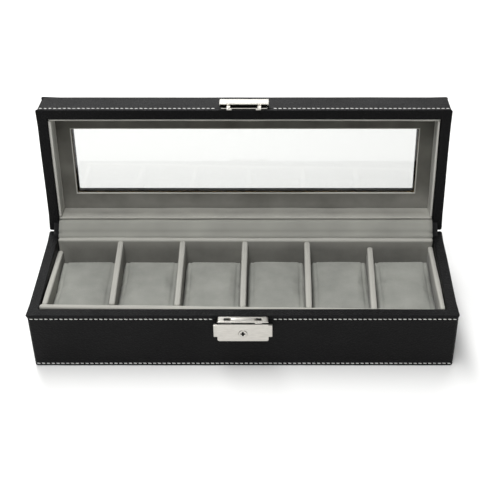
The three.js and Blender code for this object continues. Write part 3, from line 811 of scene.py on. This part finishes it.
def stuff(pieces):
    before = [[v.co.copy() for v in piece.data.vertices] for piece in pieces]
    for index, piece in enumerate(pieces):
        settings = piece.modifiers.new("cloth", "CLOTH").settings
        settings.use_pressure = True
        settings.uniform_pressure_force = 4.0 + 0.4 * (index % 3)
        settings.effector_weights.gravity = 0.0
        for name, value in CLOTH.items():
            setattr(settings, name, value)
    scene = bpy.context.scene
    for number in range(1, CUSHION_FRAMES + 1):
        scene.frame_set(number)
    for piece, starts in zip(pieces, before):
        applied(piece)
        for vertex, place in zip(piece.data.vertices, starts):
            move = vertex.co - place
            if move.length > CUSHION_TRAVEL:
                vertex.co = place + move.normalized() * CUSHION_TRAVEL
    scene.frame_set(1)


stuff(cushions)
print("cushion points:", sum(len(piece.data.vertices) for piece in cushions))

# %% [markdown]
# The seams come last, because the remesh would lose them: a dent runs round near each side, where the end
# panels meet the band. The band is folded at the back, which stands up a little, and slow lumps show the
# wadding.

# %% Seams, crowns and fit
SEAM_IN = 3.2 * MM
SEAM_HALF = 0.8 * MM
SEAM_DEEP = 0.9 * MM
FOLD_IN = 2.5 * MM
FOLD_HALF = 3.0 * MM
FOLD_HIGH = 0.9 * MM
LUMP_HIGH = 0.5 * MM
SPARE = Vector((0.8, 0.8, 1.6)) * MM  # how far a cushion may stand past its CAD solid


def sew_and_fit(piece, index):
    low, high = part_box(f"cushion_{index}")
    middle, half = (low + high) / 2, (high - low) / 2
    smooth = piece.modifiers.new("smooth", "SUBSURF")
    smooth.levels = smooth.render_levels = 1
    applied(piece)
    bm = bmesh.new()
    bm.from_mesh(piece.data)
    bm.normal_update()
    for vertex in bm.verts:
        x, y, z = vertex.co - middle
        seam_x = half.x - SEAM_IN - 0.4 * MM * noise.noise(Vector((y * 90, index, 0)))
        if abs(vertex.normal.x) < 0.8:
            vertex.co -= vertex.normal * SEAM_DEEP * math.exp(-((abs(x) - seam_x) / SEAM_HALF) ** 2)
        if z > 0:
            fold = math.exp(-((y - half.y + FOLD_IN) / FOLD_HALF) ** 2) * (1 - 0.35 * (x / half.x) ** 2)
            vertex.co.z += FOLD_HIGH * fold
            vertex.co.z += LUMP_HIGH * noise.noise(Vector((x * 45, y * 45, index * 3.7)))
        for axis in range(3):
            least = low[axis] - SPARE[axis] * (axis < 2)
            vertex.co[axis] = min(max(vertex.co[axis], least), high[axis] + SPARE[axis])
    bm.to_mesh(piece.data)
    bm.free()
    piece.data.polygons.foreach_set("use_smooth", [True] * len(piece.data.polygons))
    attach(piece, f"cushion_body_{index}")
    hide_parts(f"cushion_{index}")


for index, piece in enumerate(cushions, 1):
    sew_and_fit(piece, index)
print("cushion faces:", [len(piece.data.polygons) for piece in cushions])

# %% [markdown]
# ## Gusset
# A strip of cloth closes the gap between the base's lining and the lid's, so nothing slips behind. It is
# glued down inside the base, crosses to the open lid, and is glued inside the lid. It bends with the hinge:
# the cloth follows the base below the rim and the lid above it. A shallow crease runs along it where it
# folds when the lid shuts. A thin black tape, a little wider, backs it. Both edges are held, so the shape
# needs no simulation.

# %% Gusset strip and its tape
GUSSET_THICK = 0.5 * MM
CREASE = Vector((0, 1.7, -0.6)) * MM
CREASE_ROW = 7
COLUMNS = 80
gusset_low, gusset_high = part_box("gusset")
liner_back_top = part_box("liner_back")[1]
gusset_y = liner_back_top.y + 0.3 * MM + GUSSET_THICK / 2
base_end = Vector((0, gusset_y, gusset_low.z))
base_rim = Vector((0, gusset_y, base_high.z + 0.3 * MM))
lid_rim = swing @ Vector((0, gusset_y, lid_low.z))
lid_end = swing @ Vector((0, gusset_y, lid_low.z + 8 * MM))


def bridging_strip(name, half_x, behind, finish, thick):
    """A sheet along the gusset's path, moved behind it by a distance, that bends with the lid."""
    bm = bmesh.new()
    runs = ((base_end, base_rim, 5), (base_rim, lid_rim, 8), (lid_rim, lid_end, 5))
    spine = [a.lerp(b, k / count) for a, b, count in runs for k in range(count)] + [lid_end]
    spine[CREASE_ROW] = spine[CREASE_ROW] + CREASE
    corners = [bm.verts.new((-half_x, p.y + behind, p.z - behind * 0.6)) for p in spine]
    edges = [bm.edges.new(pair) for pair in zip(corners, corners[1:])]
    for _ in range(COLUMNS):
        made = bmesh.ops.extrude_edge_only(bm, edges=edges)["geom"]
        moved = [g for g in made if isinstance(g, bmesh.types.BMVert)]
        bmesh.ops.translate(bm, verts=moved, vec=(2 * half_x / COLUMNS, 0, 0))
        edges = [g for g in made if isinstance(g, bmesh.types.BMEdge)]
    inner = [v for v in bm.verts if not v.is_boundary]
    for _ in range(2):
        bmesh.ops.smooth_vert(bm, verts=inner, factor=0.5, use_axis_y=True, use_axis_z=True)
    bmesh.ops.recalc_face_normals(bm, faces=bm.faces)
    uneven(bm, 0.25 * MM, 20 * MM, 51)
    strip = finish_piece(name, bm, finish, None)
    thicken = strip.modifiers.new("thickness", "SOLIDIFY")
    thicken.thickness = thick
    thicken.offset = 0.0
    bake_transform(strip)
    return strip


gusset = bridging_strip("gusset_strip", gusset_high.x, 0.0, gusset_cloth, GUSSET_THICK)
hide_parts("gusset")
bridging_strip("gusset_backing", gusset_high.x + 4.5 * MM, 1.0 * MM, black_tape, 0.25 * MM)
print("gusset width in mm:", round(2 * gusset_high.x / MM, 1))

# %% [markdown]
# ## Stitches
# The thread is thick and pale, about four millimetres to a stitch. One stitch is a stretched ball with few
# faces, laid along each wall with a slight slant, as a machine's lockstitch shows. The rows leave room for
# the lock.

# %% Stitch rows
STITCH_PITCH = 3.9 * MM
STITCH_LONG = 3.0 * MM
STITCH_WIDE = 0.75 * MM
SINK = 0.12 * MM
WINDOW_ROW = 5 * MM  # from the window to its row of stitches
lock_low, lock_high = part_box("lock_case")
random.seed(11)


def stitch_row(name, half_x, half_y, z, body, level=False, skip_lock=False):
    """Stitches round a rectangle at one height. level lays them on a top face, not on the walls."""
    bm = bmesh.new()
    sides = ((0, -1, half_x, half_y), (0, 1, half_x, half_y), (1, -1, half_y, half_x), (1, 1, half_y, half_x))
    for axis, sign, length, out in sides:
        clear = length - CORNER_ROUND - 0.5 * MM
        count = round(2 * clear / STITCH_PITCH)
        for k in range(count + 1):
            along = -clear + 2 * clear * k / count
            if skip_lock and axis == 0 and sign < 0 and abs(along) < lock_high.x + 2.5 * MM:
                continue
            place = Vector((along, sign * out, z)) if axis == 0 else Vector((sign * out, along, z))
            size = Vector((STITCH_LONG, STITCH_WIDE, STITCH_WIDE)) * random.uniform(0.94, 1.06)
            slant = Matrix.Rotation(math.radians(random.uniform(3, 9)), 4, "Z" if level else "Y")
            turn = Matrix.Rotation(math.pi / 2 * axis, 4, "Z")
            shape = Matrix.Translation(place) @ turn @ slant @ Matrix.Diagonal((*(size / 2), 1))
            shape = shape @ Matrix.Rotation(math.pi / 2, 4, "Y")
            bmesh.ops.create_uvsphere(bm, u_segments=6, v_segments=4, radius=1.0, matrix=shape)
    return finish_piece(name, bm, thread, body, (), body == "lid")


wall_x, wall_y = base_high.x - SINK, base_high.y - SINK
stitch_row("stitches_base_top", wall_x, wall_y, base_high.z - STITCH_DOWN, "base", skip_lock=True)
stitch_row("stitches_base_foot", wall_x, wall_y, base_low.z + FOOT_ROW, "base")
stitch_row("stitches_lid_rim", wall_x, wall_y, lid_low.z + STITCH_DOWN, "lid", skip_lock=True)
stitch_row("stitches_window", WINDOW_X + WINDOW_ROW, WINDOW_Y + WINDOW_ROW, top_high.z, "lid", level=True)
print("stitch rows: 4")

# %% [markdown]
# ## Hardware
# The lock, its cover and the hinges are pressed metal, so every edge has a small radius that catches the
# light. The CAD solids have the right shapes with sharp edges. A merged copy of each one is bevelled and
# takes its place.

# %% Bevelled hardware
CORNER_ANGLE = math.radians(35)
FORMED = {  # edge radius in mm, and the body that it rides on
    "lock_case": (0.35, "base"), "catch_cover": (0.35, "lid"), "catch_hook_plate": (0.2, "lid"),
    "lock_button_left": (0.3, "button_left"), "lock_button_right": (0.3, "button_right"),
    "key_barrel": (0.12, "key"),
    "hinge_leaf_base_left": (0.15, "base"), "hinge_leaf_base_right": (0.15, "base"),
    "hinge_leaf_lid_left": (0.15, "lid"), "hinge_leaf_lid_right": (0.15, "lid"),
}


def formed(node, radius, body):
    """A bevelled copy of a CAD solid in nickel."""
    bm = bmesh.new()
    bm.from_mesh(frame["nodes"][node].data)
    bmesh.ops.remove_doubles(bm, verts=bm.verts, dist=1e-6)
    bmesh.ops.dissolve_limit(bm, angle_limit=math.radians(2), verts=bm.verts, edges=bm.edges)
    sharp = [e for e in bm.edges if e.calc_face_angle(0) > CORNER_ANGLE]
    bmesh.ops.bevel(
        bm, geom=sharp, offset=radius, offset_type="OFFSET", segments=2, profile=0.5, affect="EDGES",
        material=-1, clamp_overlap=True,
    )
    return finish_piece(node + "_formed", bm, nickel, body, (node,))


hardware = {node: formed(node, radius * MM, body) for node, (radius, body) in FORMED.items()}
print("formed metal pieces:", len(hardware))

# %% [markdown]
# The case is two pressings, a plate and a flange above it, so a groove parts them. The flange has two
# slots that take the catch's hooks, and the key barrel has a cross-shaped keyway. These are cut deep, and
# their inner faces get a near-black material: painted shade, so the groove reads as a dark line.

# %% Groove, slots and keyway
SLOT_X = 12.4 * MM
slot_half = Vector((2.3, 1.4, 3.5)) * MM
slot_middle = Vector((0, lock_low.y + 2.7 * MM, lock_high.z - 2.5 * MM))
groove_low = Vector((lock_low.x - 1 * MM, lock_low.y - 1 * MM, lock_high.z - 2.9 * MM))
groove_high = Vector((lock_high.x + 1 * MM, lock_low.y + 2.4 * MM, lock_high.z - 1.5 * MM))
cuts = [(groove_low, groove_high)]
for x in (-SLOT_X, SLOT_X):
    middle = slot_middle + Vector((x, 0, 0))
    cuts.append((middle - slot_half, middle + slot_half))
cut_by(hardware["lock_case"], cuts, painted_shade_steel)

barrel_low, barrel_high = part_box("key_barrel")
mouth = (barrel_low + barrel_high) / 2
mouth.y = barrel_low.y + 0.5 * MM
keyway = [Vector((0.75, 1.5, 2.1)) * MM, Vector((1.9, 1.5, 0.7)) * MM]
cut_by(hardware["key_barrel"], [(mouth - half, mouth + half) for half in keyway], painted_shade_steel)
print("lock cuts:", len(cuts) + len(keyway))

# %% [markdown]
# The catch's cover is a bent plate: its front and top stay whole, and its ends are cut back to the lid. It
# is shaped on the shut box like the lid's other pieces. Last, every formed piece keeps its flat faces flat:
# edges over twenty degrees are marked sharp.

# %% Catch cover
FLAT_ANGLE = math.radians(20)
cover_low, cover_high = shut_box("catch_cover")
inside = (
    Vector((cover_low.x + 0.8 * MM, cover_low.y + 0.9 * MM, cover_low.z - 1 * MM)),
    Vector((cover_high.x - 0.8 * MM, cover_high.y + 0.2 * MM, cover_high.z - 0.9 * MM)),
)
ends = (
    Vector((cover_low.x - 1 * MM, cover_low.y + 1.2 * MM, cover_low.z - 1 * MM)),
    Vector((cover_high.x + 1 * MM, cover_high.y + 0.2 * MM, cover_low.z + 5.5 * MM)),
)
hardware["catch_cover"].data.transform(unswing)
# The cover's inner faces get the near-black painted shade.
cut_by(hardware["catch_cover"], [inside, ends], painted_shade_steel)
hardware["catch_cover"].data.transform(swing)
for piece in hardware.values():
    piece.data.set_sharp_from_angle(angle=FLAT_ANGLE)
print("catch cover faces:", len(hardware["catch_cover"].data.polygons))

# %% [markdown]
# ## Finishes of the CAD nodes
# What no new piece replaces keeps its CAD shape: the boards, the pane, the pins, screws and springs. The
# record says what each one is made of.

# %% CAD nodes get their real finish
finishes = {
    "fibreboard": fibreboard, "felt": felt, "glass": glass, "nickel": nickel, "screw_steel": zinc,
    "spring_steel": spring_wire, "velvet": lining_velvet, "cushion_cloth": cushion_velvet,
    "gusset_cloth": gusset_cloth, "leather": leather,
}
for part in frame["record"]["subparts"]:
    node = frame["nodes"][part["node"]]
    node.data.materials.clear()
    node.data.materials.append(finishes[part["material_slot"]])

# %% [markdown]
# ## Studio
# A pale paper floor and two big soft lights. A long narrow one overhead lights the tops and leaves the
# walls dark. A wide one behind the box brightens the ground that shows through the pane. The world adds a
# weak even fill.

# %% Floor
floor_bm = bmesh.new()
bmesh.ops.create_grid(floor_bm, x_segments=1, y_segments=1, size=6.0)
floor_mesh = bpy.data.meshes.new("studio_floor")
floor_bm.to_mesh(floor_mesh)
floor_bm.free()
floor = bpy.data.objects.new("studio_floor", floor_mesh)
bpy.context.scene.collection.objects.link(floor)
floor_mesh.materials.append(material("white_studio_paper", Base_Color=linear("#f4f4f3"), Roughness=0.9)[0])
print("floor side in m:", floor.dimensions.x)

# %% Lights
def soft_light(name, place, target, size, power):
    """A rectangular light, size in metres, aimed at a point."""
    data = bpy.data.lights.new(name, "AREA")
    data.shape = "RECTANGLE"
    data.size, data.size_y = size
    data.energy = power
    light = bpy.data.objects.new(name, data)
    light.location = place
    light.rotation_euler = (Vector(target) - Vector(place)).to_track_quat("-Z", "Y").to_euler()
    bpy.context.scene.collection.objects.link(light)


soft_light("overhead", (-0.2, -0.05, 1.3), (0, 0, 0), (2.4, 0.35), 30)
soft_light("back", (0.0, 1.9, 1.25), (0, 0, 0.1), (2.6, 1.0), 26)

world = bpy.data.worlds.new("studio")
bpy.context.scene.world = world
world.use_nodes = True
background = world.node_tree.nodes["Background"]
background.inputs["Color"].default_value = (1, 1, 1, 1)
background.inputs["Strength"].default_value = 0.13
print("lights:", len(bpy.data.lights))
